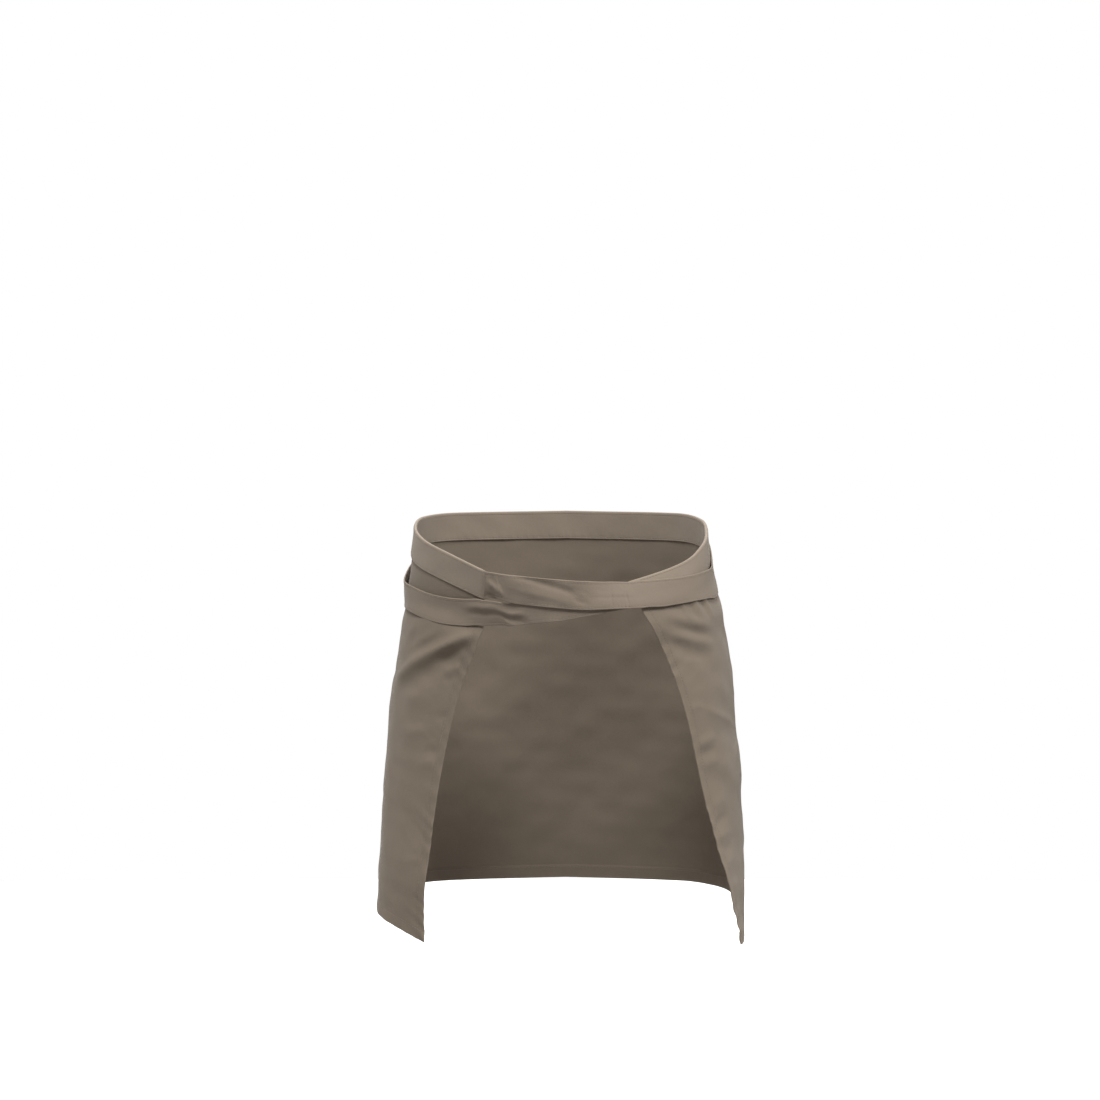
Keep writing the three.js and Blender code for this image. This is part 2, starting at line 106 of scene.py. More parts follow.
# %% Light
room_light = 0.42
lamps = {
    "right": {"from": (-0.75, 0.3, 0.75), "strength": 1.8, "spread": 20},
    "left": {"from": (0.8, 0.0, 0.75), "strength": 1.0, "spread": 26},
    "back": {"from": (0.1, 0.65, 0.95), "strength": 2.0, "spread": 20},
    "front": {"from": (0.1, -0.8, 0.7), "strength": 1.4, "spread": 26},
}
for name, lamp in lamps.items():
    data = bpy.data.lights.new(name, "SUN")
    data.energy = lamp["strength"]
    data.angle = math.radians(lamp["spread"])
    east, north, up = lamp["from"]
    lean = math.atan2(math.hypot(east, north), up)
    turned = math.atan2(north, east) + math.pi / 2
    add_object(name, data).rotation_euler = (lean, 0, turned)

world = bpy.data.worlds.new("white_room")
world.use_nodes = True
bpy.context.scene.world = world
tree = world.node_tree
tree.nodes.clear()
room, backdrop, seen, either, sky = (
    tree.nodes.new("ShaderNode" + kind)
    for kind in ("Background", "Background", "LightPath", "MixShader", "OutputWorld")
)
room.inputs["Strength"].default_value = room_light
backdrop.inputs["Color"].default_value = (1, 1, 1, 1)
tree.links.new(seen.outputs["Is Camera Ray"], either.inputs[0])
tree.links.new(room.outputs[0], either.inputs[1])
tree.links.new(backdrop.outputs[0], either.inputs[2])
tree.links.new(either.outputs[0], sky.inputs["Surface"])
print(len(lamps), "soft lamps in a white room")

# %% [markdown]
# ## The form that the cloth hangs on
#
# All the pieces lie on one curved form: the shape that the cloth takes when the apron is worn. It
# could be sculpted, but then the band, the panel and the ties would each need fitting. Here it is
# worked out once, as a function of two lengths along the cloth. *way* goes round the waist: 0 is
# the middle of the front, 1 the band's left end, 2 its right end, across the open back, and 3 the
# front again. *drop* is the distance down from the apron's top line. Each level down is a rounded
# oval in plan, and each thread sinks by what is left of its length after its move in plan, so the
# cloth is never stretched.

# %% Sizes of the apron, in metres
panel_width = 700 * MM
panel_drop = 376 * MM
side_hem_width = 9 * MM
bottom_hem_width = 12 * MM
band_height = 28 * MM
band_overlap = 10 * MM
tie_width = 28 * MM
left_tail_length = 225 * MM
right_tail_length = 205 * MM
half_panel = panel_width / 2

waist_half_width = 145.5 * MM
waist_front_depth = 119 * MM
waist_back_depth = 98 * MM
hem_half_width = 184 * MM
hem_front_depth = 126 * MM
section_exponent = 2.25
end_drop = {"left": 61 * MM, "right": 71.5 * MM}
turned_to_right = 6 * MM
out_step = 3.3 * MM

# One column a level, from the top line (drop 0) to the hem (drop 1). spread is the share of the
# way from the waist's half width and front depth to the hem's. back is the depth of the back half
# as a share of waist_back_depth.
levels = {
    "drop": [0.0, 0.08, 0.15, 0.2, 0.3, 0.4, 0.5, 0.6, 0.75, 0.9, 1.0],
    "spread_left": [0.0, 0.08, 0.14, 0.2, 0.4, 0.555, 0.67, 0.755, 0.86, 0.97, 1.0],
    "spread_right": [0.0, 0.06, 0.22, 0.37, 0.55, 0.68, 0.77, 0.85, 0.93, 0.955, 0.955],
    "back_left": [1.0, 0.94, 0.875, 0.905, 0.905, 0.89, 0.9, 0.915, 0.935, 0.9, 0.857],
    "back_right": [1.0, 1.13, 1.165, 1.135, 1.17, 1.215, 1.255, 1.33, 1.56, 2.3, 3.25],
}
# How far the top line has sunk from the front (way 0) to each end of the band (way 1), as shares
# of end_drop.
top_line = {
    "way": [0.0, 0.35, 0.5, 0.62, 0.7, 0.78, 0.86, 0.93, 1.0],
    "left": [0.0, 0.04, 0.11, 0.245, 0.38, 0.53, 0.685, 0.835, 1.0],
    "right": [0.0, 0.04, 0.14, 0.335, 0.49, 0.67, 0.805, 0.905, 1.0],
}
print("panel", round(panel_width, 3), "by", round(panel_drop, 3), "m")


# %% Reading a table along a smooth curve
def read_table(table, column, at):
    """Value of a column at places along the table's first column: a cubic through every row, whose
    slope at a row is the harmonic mean of the slopes on both sides, or zero at a peak, so that it
    never swings past two neighbouring rows."""
    place = np.array(next(iter(table.values())), float)
    value = np.array(table[column], float)
    span = np.diff(place)
    slope = np.diff(value) / span
    product = slope[:-1] * slope[1:]
    total = np.where(product > 0, slope[:-1] + slope[1:], 1)
    inner = np.where(product > 0, 2 * product / total, 0)
    tangent = np.concatenate([slope[:1], inner, slope[-1:]])
    row = np.clip(np.searchsorted(place, at, side="right") - 1, 0, len(span) - 1)
    t = (at - place[row]) / span[row]
    rise = value[row + 1] - value[row]
    bend_in = tangent[row] * span[row]
    bend_out = tangent[row + 1] * span[row]
    square = 3 * rise - 2 * bend_in - bend_out
    cube = bend_in + bend_out - 2 * rise
    return value[row] + bend_in * t + square * t**2 + cube * t**3


def mix(start, end, share):
    """start + (end - start) x share."""
    return start + (end - start) * share


def smooth_step(start, end, value):
    """0 before start, 1 after end, and 3t^2 - 2t^3 between them."""
    t = np.clip((value - start) / (end - start), 0, 1)
    return t * t * (3 - 2 * t)


half_way_spread = float(read_table(levels, "spread_left", 0.5))
print("half way down, the left side has spread", round(half_way_spread, 3))

# %% Oval sections of the form
section_steps = 180
section_angle = np.linspace(0, np.pi, section_steps + 1)
section_across = np.abs(np.sin(section_angle)) ** (2 / section_exponent)
section_along = np.abs(np.cos(section_angle)) ** (2 / section_exponent)


def half_section(level, side):
    """One half of the oval at each level: x is half width x |sin a|^(2/n) and y is depth x
    |cos a|^(2/n), with a from the front to the back. Also its running length at each step. The
    front depth goes by the mean spread of both halves, so that they meet without a step."""
    spread = {half: read_table(levels, "spread_" + half, level)[:, None] for half in end_drop}
    front_spread = (spread["left"] + spread["right"]) / 2
    back_depth = waist_back_depth * read_table(levels, "back_" + side, level)[:, None]
    half_width = mix(waist_half_width, hem_half_width, spread[side])
    front_depth = mix(waist_front_depth, hem_front_depth, front_spread)
    depth = np.where(section_angle < np.pi / 2, -front_depth, back_depth)
    points = np.stack([half_width * section_across, depth * section_along], -1)
    steps = np.linalg.norm(np.diff(points, axis=1), axis=-1)
    lengths = np.concatenate([np.zeros((len(steps), 1)), np.cumsum(steps, axis=1)], axis=1)
    return points, lengths


def point_at_length(points, lengths, at):
    """The point of each section at a length from the front, by straight steps between points."""
    row = np.arange(len(at))
    low = np.clip((lengths <= at[:, None]).sum(axis=1) - 1, 0, section_steps - 1)
    share = (at - lengths[row, low]) / (lengths[row, low + 1] - lengths[row, low])
    return mix(points[row, low], points[row, low + 1], share[:, None])


print("waist", round(2 * waist_half_width, 3), "m wide")

# %% Length in plan along the band
arc_steps = 200


def plan_lengths(side):
    """Running length in plan along half the top line: each step is sqrt(step^2 - fall^2)."""
    share = np.linspace(0, 1, arc_steps + 1)
    fall = np.diff(end_drop[side] * read_table(top_line, side, share))
    steps = np.sqrt((half_panel / arc_steps) ** 2 - fall**2)
    return np.concatenate([[0], np.cumsum(steps)])


plan_length = {side: plan_lengths(side) for side in end_drop}
end_length = {
    "left": plan_length["left"][-1] - turned_to_right,
    "right": plan_length["right"][-1] + turned_to_right,
}


def plan_point(way, level):
    """Place in plan at each way round the waist. On the cloth it is the oval's point at the cloth's
    length. In the open back the halves run on to the middle, and the oval fades to the waist's."""
    share = np.linspace(0, 1, arc_steps + 1)
    on_left = np.interp(np.abs(way), share, plan_length["left"])
    on_right = np.interp(np.abs(way), share, plan_length["right"])
    length = np.where(way >= 0, on_left, -on_right) - turned_to_right
    gap = way - 1
    in_gap = gap > 0
    is_left = np.where(in_gap, gap < 0.5, length >= 0)
    section_level = np.where(in_gap, level * np.cos(np.pi * gap) ** 2, level)
    place = np.zeros((len(way), 2))
    for side, chosen in (("left", is_left), ("right", ~is_left)):
        points, lengths = half_section(section_level[chosen], side)
        gap_share = 2 * np.where(side == "left", gap[chosen], 1 - gap[chosen])
        across_gap = mix(end_length[side], lengths[:, -1], gap_share)
        at = np.where(in_gap[chosen], across_gap, np.abs(length[chosen]))
        place[chosen] = point_at_length(points, lengths, at)
    place[~is_left, 0] *= -1
    return place


def top_height(way):
    """Height of the top line: it sinks along the cloth by the table, and across the open back it
    goes from one end's height to the other's."""
    gap = way - 1
    across_gap = mix(end_drop["left"], end_drop["right"], 1 - (1 - gap) ** 2)
    sunk_left = end_drop["left"] * read_table(top_line, "left", np.abs(np.minimum(way, 1)))
    sunk_right = end_drop["right"] * read_table(top_line, "right", np.abs(np.minimum(way, 1)))
    sunk = np.where(gap > 0, across_gap, np.where(way >= 0, sunk_left, sunk_right))
    return band_height / 2 - sunk


print("half the band is", round(plan_length["left"][-1], 4), "m in plan at the left")

# %% The form as a lattice of points and outward directions
lattice_ways = 900
lattice_drops = 127
lattice_way = -1 + 3 * np.arange(lattice_ways) / lattice_ways
lattice_drop = np.linspace(0, panel_drop, lattice_drops)
drop_step = lattice_drop[1]

lattice = np.zeros((lattice_ways, lattice_drops, 3))
lattice[:, 0, 2] = top_height(lattice_way)
for row, drop in enumerate(lattice_drop):
    lattice[:, row, :2] = plan_point(lattice_way, drop / panel_drop)
plan_moves = np.linalg.norm(np.diff(lattice[:, :, :2], axis=1), axis=-1)
falls = np.sqrt(drop_step**2 - np.minimum(plan_moves, drop_step) ** 2)
lattice[:, 1:, 2] = lattice[:, :1, 2] - np.cumsum(falls, axis=1)

lattice_round = np.roll(lattice, -1, axis=0) - np.roll(lattice, 1, axis=0)
lattice_down = np.gradient(lattice, axis=1)
lattice_out = np.cross(lattice_down, lattice_round)
lattice_out /= np.linalg.norm(lattice_out, axis=-1, keepdims=True)
print("lattice of", lattice_ways, "by", lattice_drops, "points")


def on_form(way, drop, out):
    """Point of the form at a way round and a drop along the cloth, moved out by a distance along
    the outward direction. Both are read from the lattice by straight mixing of its four corners."""
    way, drop, out = np.broadcast_arrays(*(np.asarray(v, float) for v in (way, drop, out)))
    column = ((way + 1) % 3) * lattice_ways / 3
    left = np.floor(column).astype(int) % lattice_ways
    right = (left + 1) % lattice_ways
    row = np.clip(np.floor(drop / drop_step).astype(int), 0, lattice_drops - 2)
    across = (column - np.floor(column))[..., None]
    down = (drop / drop_step - row)[..., None]

    def read(grid):
        upper = mix(grid[left, row], grid[right, row], across)
        lower = mix(grid[left, row + 1], grid[right, row + 1], across)
        return mix(upper, lower, down)

    return read(lattice) + read(lattice_out) * out[..., None]


def outward_at(way, down, face):
    """The form's outward direction on its outer side (face 1), or its reverse (face -1)."""
    return face * (on_form(way, down, 1.0) - on_form(way, down, 0.0))


# %% [markdown]
# ## The cloth itself
#
# The cloth is a matt cotton blend in a fine twill: diagonal ribs about half a millimetre apart,
# slightly uneven yarns, and a dry soft sheen. Real ribs could be modelled, but at this scale they
# would be millions of faces, so they are bump. The pattern follows each piece's own UV map, which
# holds lengths along the cloth in metres, so the ribs run with the cloth round every fold. An
# attribute named *worn* marks folded and sewn edges, where the cloth is rubbed a little lighter.

# %% Colours measured as screen values, turned to light values
def light_value(screen):
    """A screen value from 0 to 255 as linear light: ((s + 0.055) / 1.055)^2.4."""
    return tuple(((value / 255 + 0.055) / 1.055) ** 2.4 for value in screen)


print("a mid grey is", round(light_value([128])[0], 3), "in light")


# %% The cloth material
rib_distance = 0.55 * MM
wave_period = 2 * math.pi / 10


def add_node(nodes, kind, settings):
    """A node of that kind, with its sockets and properties set by name."""
    node = nodes.new(kind)
    for name, value in settings.items():
        if name in node.inputs:
            node.inputs[name].default_value = value
        else:
            setattr(node, name, value)
    return node


def cloth_material(name, colour, crease_depth):
    """Fine twill in one colour: ribs, uneven yarns, soft creases and lighter rubbed edges."""
    material = bpy.data.materials.new(name)
    material.use_nodes = True
    nodes = material.node_tree.nodes
    links = material.node_tree.links
    shader = nodes["Principled BSDF"]
    cloth_map = add_node(nodes, "ShaderNodeUVMap", {"uv_map": "cloth"})
    stretch = add_node(nodes, "ShaderNodeMapping", {"Scale": (1, 6, 1)})
    links.new(cloth_map.outputs[0], stretch.inputs[0])
    ribs = add_node(nodes, "ShaderNodeTexWave", {
        "bands_direction": "DIAGONAL", "Scale": wave_period / rib_distance, "Distortion": 1.2,
        "Detail": 2.0, "Detail Scale": 0.4,
    })
    yarns, clouds, creases = (
        add_node(nodes, "ShaderNodeTexNoise", {"Scale": fine, "Detail": detail, "Roughness": rough})
        for fine, detail, rough in ((420.0, 3.0, 0.6), (22.0, 4.0, 0.55), (60.0, 3.0, 0.5))
    )
    links.new(stretch.outputs[0], yarns.inputs["Vector"])
    for pattern in (ribs, clouds, creases):
        links.new(cloth_map.outputs[0], pattern.inputs["Vector"])

    # Four small changes of brightness: rubbed edges, yarns, broad clouds and ribs
    worn = add_node(nodes, "ShaderNodeAttribute", {"attribute_name": "worn"})
    rubbed = add_node(nodes, "ShaderNodeMath", {"operation": "MULTIPLY_ADD"})
    rubbed.inputs[1].default_value = 0.14
    rubbed.inputs[2].default_value = 1.0
    links.new(worn.outputs["Fac"], rubbed.inputs[0])
    brightness = rubbed.outputs[0]
    for source, low, high in (
        (yarns.outputs[0], 0.93, 1.07),
        (clouds.outputs[0], 0.965, 1.035),
        (ribs.outputs[1], 0.96, 1.04),
    ):
        gain = add_node(nodes, "ShaderNodeMapRange", {
            "From Min": 0.25, "From Max": 0.75, "To Min": low, "To Max": high,
        })
        product = add_node(nodes, "ShaderNodeMath", {"operation": "MULTIPLY"})
        links.new(source, gain.inputs["Value"])
        links.new(gain.outputs[0], product.inputs[0])
        links.new(brightness, product.inputs[1])
        brightness = product.outputs[0]
    tint = add_node(nodes, "ShaderNodeVectorMath", {"operation": "SCALE"})
    tint.inputs[0].default_value = colour
    links.new(brightness, tint.inputs["Scale"])
    links.new(tint.outputs[0], shader.inputs["Base Color"])

    dryness = add_node(nodes, "ShaderNodeMapRange", {
        "From Min": 0.3, "From Max": 0.7, "To Min": 0.82, "To Max": 0.95,
    })
    links.new(yarns.outputs[0], dryness.inputs["Value"])
    links.new(dryness.outputs[0], shader.inputs["Roughness"])
    shader.inputs["Specular IOR Level"].default_value = 0.25
    shader.inputs["Sheen Weight"].default_value = 0.16
    shader.inputs["Sheen Roughness"].default_value = 0.45

    # Three bumps, one on top of the other: creases, yarns and ribs
    normal = None
    for source, distance, strength in (
        (creases.outputs[0], crease_depth, 1.0),
        (yarns.outputs[0], 0.05 * MM, 0.6),
        (ribs.outputs[1], 0.06 * MM, 0.7),
    ):
        bump = add_node(nodes, "ShaderNodeBump", {"Distance": distance, "Strength": strength})
        links.new(source, bump.inputs["Height"])
        if normal is not None:
            links.new(normal, bump.inputs["Normal"])
        normal = bump.outputs[0]
    links.new(normal, shader.inputs["Normal"])
    return material


# Every piece is one taupe twill. The band's colour is lighter and the panel's darker than the
# ties':
# this is painted light, a painted brightness on the band and a painted shade on the hanging panel.
materials = {
    "panel_cloth": cloth_material("panel_twill", light_value((125, 113, 99)), 0.35 * MM),
    "band_cloth": cloth_material("band_twill", light_value((144, 131, 117)), 0.3 * MM),
    "tie_cloth": cloth_material("tie_twill", light_value((136, 123, 109)), 0.3 * MM),
    "knot_cloth": cloth_material("knot_twill", light_value((134, 122, 109)), 0.4 * MM),
    "thread": cloth_material("sewing_thread", light_value((137, 125, 111)), 0.05 * MM),
}
print("materials:", ", ".join(materials))

# %% [markdown]
# ## Walls of cloth
#
# Every piece of cloth is a thin closed wall: a grid of points on its outer face, the same grid on
# its inner face, and a rounded edge where they meet. Solidify could give the thickness, but it
# makes square edges and the same thickness everywhere, while a sewn piece is thick at its hems and
# pressed thin along its stitches. So both faces are worked out, and the thickness is a function.

# %% A closed wall between two grids of points
def flip_if_inside_out(points, faces):
    """The faces turned over if the volume that they enclose, summed over their corners, is below
    zero."""
    a, b, c, d = (points[faces[:, corner]] for corner in range(4))
    volume = np.einsum("ij,ij->", a, np.cross(b, c)) + np.einsum("ij,ij->", a, np.cross(c, d))
    return faces[:, ::-1] if volume < 0 else faces


def quads_between(loops, size):
    """Quads between neighbouring loops of points. Each joins points j and j + 1 of one loop to the
    same points of the next, and the last point is followed by the first."""
    i, j = np.meshgrid(np.arange(loops - 1), np.arange(size), indexing="ij")
    after = (j + 1) % size
    near, far = i * size, (i + 1) * size
    return np.stack([near + j, far + j, far + after, near + after], -1).reshape(-1, 4)


def wall_faces(columns, rows):
    """Quads of a closed wall. Column i is a loop: its outer points downwards and then its inner
    points upwards. Neighbouring loops are joined, and each end loop is closed across itself."""
    loop = 2 * rows
    j = np.arange(rows - 1)
    cap = np.stack([j, j + 1, loop - 2 - j, loop - 1 - j], -1)
    far_cap = (columns - 1) * loop + cap[:, ::-1]
    return np.concatenate([quads_between(columns, loop), cap, far_cap])


def make_piece(name, points, faces, flat, worn, slot_name, material_name=None):
    """A smooth mesh object from arrays, with its UV map (flat, in metres) and its worn edges, that
    rides on the apron's one body."""
    faces = flip_if_inside_out(points, faces)
    mesh = bpy.data.meshes.new(name)
    mesh.from_pydata(points.tolist(), [], faces.tolist())
    mesh.polygons.foreach_set("use_smooth", np.ones(len(faces), bool))
    layer = mesh.uv_layers.new(name="cloth")
    layer.data.foreach_set("uv", flat[faces].astype(np.float32).ravel())
    attribute = mesh.attributes.new("worn", "FLOAT", "POINT")
    attribute.data.foreach_set("value", worn.astype(np.float32))
    mesh.materials.append(materials[material_name or slot_name])
    mesh.update()
    piece = add_object(name, mesh)
    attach(piece, "root")
    print(name, "has", len(points), "points and", 2 * len(faces), "triangles")
    return piece


def make_wall(name, outer, inner, across, down, worn, slot_name):
    """A cloth wall from its two grids. across and down are lengths along the cloth, for the map."""
    columns, rows = outer.shape[:2]
    points = np.concatenate([outer, inner[:, ::-1]], axis=1).reshape(-1, 3)
    flat = np.stack(np.broadcast_arrays(across, down), -1)
    flat = np.concatenate([flat, flat[:, ::-1]], axis=1).reshape(-1, 2)
    worn = np.broadcast_to(worn, (columns, rows))
    worn = np.concatenate([worn, worn[:, ::-1]], axis=1).ravel()
    return make_piece(name, points, wall_faces(columns, rows), flat, worn, slot_name)


# %% Spacing, rounded edges and soft waves
rim_places = np.array([0, 0.07, 0.22, 0.5, 0.95, 1.5, 2.1, 2.8]) * MM
groove_breadth = 0.7 * MM


def places_between(start, stop, step, near_start=rim_places, near_stop=rim_places):
    """Places from start to stop: close together at both ends, and about a step apart between."""
    first = start + near_start
    last = (stop - near_stop)[::-1]
    count = max(int(round((last[0] - first[-1]) / step)), 1)
    between = np.linspace(first[-1], last[0], count + 1)[1:-1]
    return np.concatenate([first, between, last])


def edge_round(distance, thickness):
    """Half the thickness near an edge: the height of a half circle, and never quite zero."""
    radius = thickness / 2
    reach = np.clip(distance / radius, 0, 1)
    return radius * np.maximum(np.sqrt(1 - (1 - reach) ** 2), 0.12)


def stitch_groove(distance):
    """The dent along a line of stitches: exp(-(distance / breadth)^2)."""
    return np.exp(-((distance / groove_breadth) ** 2))


def rubbed_edge(edge, breadth=0.9 * MM):
    """How worn the cloth is at a distance from its edge: exp(-edge / breadth)."""
    return np.exp(-edge / breadth)


def soft_waves(u, v, wave_length, seed, count=14, stretch=1.0):
    """A smooth uneven surface from -1 to 1 or so: the sum of sines in seeded random directions with
    lengths about wave_length. stretch draws them out along u."""
    draw = np.random.default_rng(seed)
    angle = draw.uniform(0, 2 * np.pi, count)
    length = wave_length * draw.uniform(0.7, 1.5, count)
    phase = draw.uniform(0, 2 * np.pi, count)
    total = 0
    for a, l, p in zip(angle, length, phase):
        total = total + np.sin(2 * np.pi * (u * np.cos(a) / stretch + v * np.sin(a)) / l + p)
    return total / math.sqrt(count)


def ridges(table, across, down):
    """Height of the folds at each place, in metres. Each is a bell across its line, exp(-x^2), and
    tapers off at both ends of it."""
    height = 0
    for from_a, from_d, to_a, to_d, high, broad in table:
        line = np.array([to_a - from_a, to_d - from_d])
        length = np.hypot(*line)
        a, d = across / MM - from_a, down / MM - from_d
        along = (a * line[0] + d * line[1]) / length**2
        aside = (a * line[1] - d * line[0]) / length / broad
        taper = smooth_step(-0.1, 0.35, along) * smooth_step(1.2, 0.6, along)
        height = height + high * MM * np.exp(-(aside**2)) * taper
    return height


print("near a rim the rows lie at", np.round(rim_places / MM, 2).tolist(), "mm")

# %% [markdown]
# ## The panel
#
# The panel is cut as a rectangle. Both sides and the bottom are turned in twice and stitched, so
# they are three layers thick and slightly puckered. When worn it hangs smoothly at the sides,
# the ties pull short slanting folds into it near its back corners, and its front falls in a few
# soft flutes. A cloth simulation could drape it, but the photo fixes where each fold lies, so the
# folds are listed as lines on the flat cloth, and the rest is seeded soft unevenness.

# %% Folds of the panel
# Columns: start and end as millimetres across from the middle and down from the top line, then
# height and breadth in millimetres. The five that reach the hem are the soft flutes in front.
panel_folds = [
    (344, 65.5, 265, 143, 4.4, 7.0),
    (338, 88, 272, 160, -2.6, 12),
    (-340, 63, -288, 86, 2.6, 6.2),
    (-338, 79, -298, 98, -1.7, 8.5),
    (192.5, 188, 175, 413.6, 2.8, 28.6),
    (91, 169.2, 84, 413.6, -2.4, 30.8),
    (-14, 188, -7, 413.6, 2.8, 28.6),
    (-105, 169.2, -98, 413.6, -2.4, 30.8),
    (-203, 188, -189, 413.6, 2.8, 28.6),
    (420, 60, 225, 91, 1.8, 12),
    (-400, 38, -190, 80, 1.8, 12),
    (350, 60, 306, 103, 1.6, 5),
    (348, 72, 312, 108, -1.3, 4.5),
    (308, 76, 278, 106, 1.17, 4.5),
    (276, 78, 266, 100, 0.91, 6),
    (300, 50, 285, 72, 0.91, 5),
    (343, 101, 326, 112, 1.17, 4.5),
    (343, 113, 328, 121, -0.78, 4),
    (311, 145, 276, 156, 0.91, 7),
    (346, 150, 330, 158, -0.65, 4),
    (328, 174, 296, 186, 1.04, 5.5),
    (346, 187, 328, 194, -1.17, 5),
    (344, 200, 322, 207, 0.65, 5),
    (343, 297, 324, 304, 0.59, 3.5),
    (-336, 39, -276, 73, 1.43, 5.5),
    (-338, 51, -280, 81, -1.17, 5),
    (-320, 32, -280, 64, -0.65, 1.8),
    (-340, 91, -298, 101, 0.52, 2.2),
    (-332, 140, -262, 178, 1, 3.2),
    (-336, 152, -268, 190, -0.4, 8),
    (-266, 32, -268, 64, 1.17, 3),
    (-273, 32, -276, 62, -1.3, 2.8),
    (-284, 32, -286, 60, 1.17, 3),
    (-293, 32, -295, 58, -1.04, 2.8),
    (-303, 32, -305, 54, 0.91, 2.8),
    (-346, 140, -328, 139, 0.91, 4),
    (-346, 176, -318, 173, 1.56, 5),
    (-346, 187, -318, 185, -1.43, 5),
    (-346, 198, -322, 196, 1.04, 4.5),
    (-344, 239, -314, 235, 1.82, 8),
    (-346, 255, -320, 252, -1.17, 5),
    (-346, 270, -318, 267, 1.3, 5),
    (-346, 283, -322, 281, -1.04, 4.5),
    (-346, 296, -318, 294, 1.17, 5),
    (-346, 311, -322, 310, -0.91, 5),
]

print(len(panel_folds), "folds in the panel")

# %% The panel's surface
cloth_thickness = 0.6 * MM
hem_thickness = 1.5 * MM
corner_thickness = 0.9 * MM
hem_step = 0.8 * MM
stitch_inset = 1.4 * MM
groove_depth = 0.16 * MM
side_pucker = {"pitch": 15 * MM, "fade": 13 * MM, "height": 0.5 * MM}
foot_ripple = {"pitch": 17 * MM, "fade": 11 * MM, "height": 0.4 * MM}


def panel_relief(across, down):
    """How far the panel's cloth stands out from the smooth form: folds, puckers along the stitched
    hems and soft unevenness that fades towards the band."""
    edge = half_panel - np.abs(across)
    foot = panel_drop - down
    drift = 1.6 * soft_waves(down, across, 70 * MM, 3)
    strength = 0.5 + 0.5 * soft_waves(down, 0 * down, 90 * MM, 4)
    puckers = np.sin(2 * np.pi * (down + 0.6 * edge) / side_pucker["pitch"] + drift)
    puckers = side_pucker["height"] * puckers * np.exp(-edge / side_pucker["fade"]) * strength
    drift = 1.6 * soft_waves(across, down, 80 * MM, 5)
    strength = 0.5 + 0.5 * soft_waves(across, 0 * across, 90 * MM, 6)
    ripples = np.sin(2 * np.pi * across / foot_ripple["pitch"] + drift)
    ripples = foot_ripple["height"] * ripples * np.exp(-foot / foot_ripple["fade"]) * strength
    held = smooth_step(band_height - 6 * MM, band_height + 50 * MM, down)
    uneven = 0.7 * MM * soft_waves(across, down, 75 * MM, 7)
    uneven = uneven + 0.28 * MM * soft_waves(across, down, 28 * MM, 8)
    below_band = smooth_step(band_height, band_height + 12 * MM, down)
    folds = ridges(panel_folds, across, down)
    return folds + held * uneven + below_band * (puckers + ripples)


def panel_face(across, down, face):
    """A point of the panel's outer face (face 1) or inner face (face -1). The hems are turned in,
    so they are thick on the inner side alone, and thickest at the corners, where they cross. The
    stitches press a narrow groove in both faces."""
    edge = half_panel - np.abs(across)
    foot = panel_drop - down
    in_side_hem = smooth_step(side_hem_width + hem_step, side_hem_width, edge)
    in_foot_hem = smooth_step(bottom_hem_width + hem_step, bottom_hem_width, foot)
    side_groove = stitch_groove(edge - side_hem_width + stitch_inset)
    foot_groove = stitch_groove(foot - bottom_hem_width + stitch_inset)
    extra = (hem_thickness - cloth_thickness) * np.maximum(in_side_hem, in_foot_hem)
    extra = extra + corner_thickness * in_side_hem * in_foot_hem
    half = edge_round(np.minimum(edge, foot), cloth_thickness + extra)
    half = half - groove_depth * np.maximum(side_groove, foot_groove)
    out = panel_relief(across, down) - extra / 2 + face * half
    return on_form(across / half_panel, down, out)


# %% Make the panel
hem_places = np.concatenate([rim_places, np.arange(3.6, 15.0, 0.9) * MM])
panel_top = band_height - band_overlap
panel_across = places_between(-half_panel, half_panel, 2.55 * MM, hem_places, hem_places)
panel_down = places_between(panel_top, panel_drop, 2.75 * MM, np.array([0]), hem_places)
across, down = np.meshgrid(panel_across, panel_down, indexing="ij")
panel_edge = np.minimum(half_panel - np.abs(across), panel_drop - down)
panel = make_wall(
    "panel", panel_face(across, down, 1), panel_face(across, down, -1), across, down,
    rubbed_edge(panel_edge, 1.2 * MM), "panel_cloth",
)
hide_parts("apron_panel")

# %% [markdown]
# ## The waistband
#
# The band is a strip folded over lengthways. The panel's top edge is slipped between its two
# leaves and one line of stitches holds all the layers, with another line close under the fold. Its
# section is a narrow U, carried along the top line of the form.

# %% Make the waistband
leaf_thickness = 0.9 * MM
band_half = 1.7 * MM
band_stitch_inset = 2.2 * MM
band_groove_depth = 0.14 * MM
pressed_end = 4 * MM


def band_skin(across, run, face):
    """A point on the folded strip. run goes down the outer leaf from 0 at the fold to 1 at its
    foot, and from 0 to -1 down the inner leaf. face 1 is the side that shows."""
    down = np.abs(run) * band_height
    fold = np.clip(down / band_half, 0, 1)
    to_end = half_panel - np.abs(across)
    pressed = mix(0.25, 1.0, smooth_step(0, pressed_end, to_end))
    apart = (band_half - leaf_thickness / 2) * np.sqrt(1 - (1 - fold) ** 2)
    middle = np.sign(run) * apart * pressed
    uneven = 0.22 * MM * soft_waves(across, down, 26 * MM, 11, stretch=1.6)
    drift = 2 * soft_waves(across, down, 60 * MM, 12)
    puckers = 0.16 * MM * np.sin(2 * np.pi * (across + 0.5 * down) / (9 * MM) + drift)
    near_stitch = np.exp(-np.abs(down - band_height + band_stitch_inset) / (5 * MM))
    groove = stitch_groove(down - band_height + band_stitch_inset)
    groove = groove + stitch_groove(down - band_stitch_inset)
    half = edge_round(np.minimum(band_height - down, to_end), leaf_thickness)
    half = half - band_groove_depth * groove
    side = np.where(run >= 0, 1, -1)
    out = middle + uneven + puckers * near_stitch + side * face * half
    lift = np.where(down < band_half, face * half * (1 - fold), 0)
    return on_form(across / half_panel, down - lift, out)


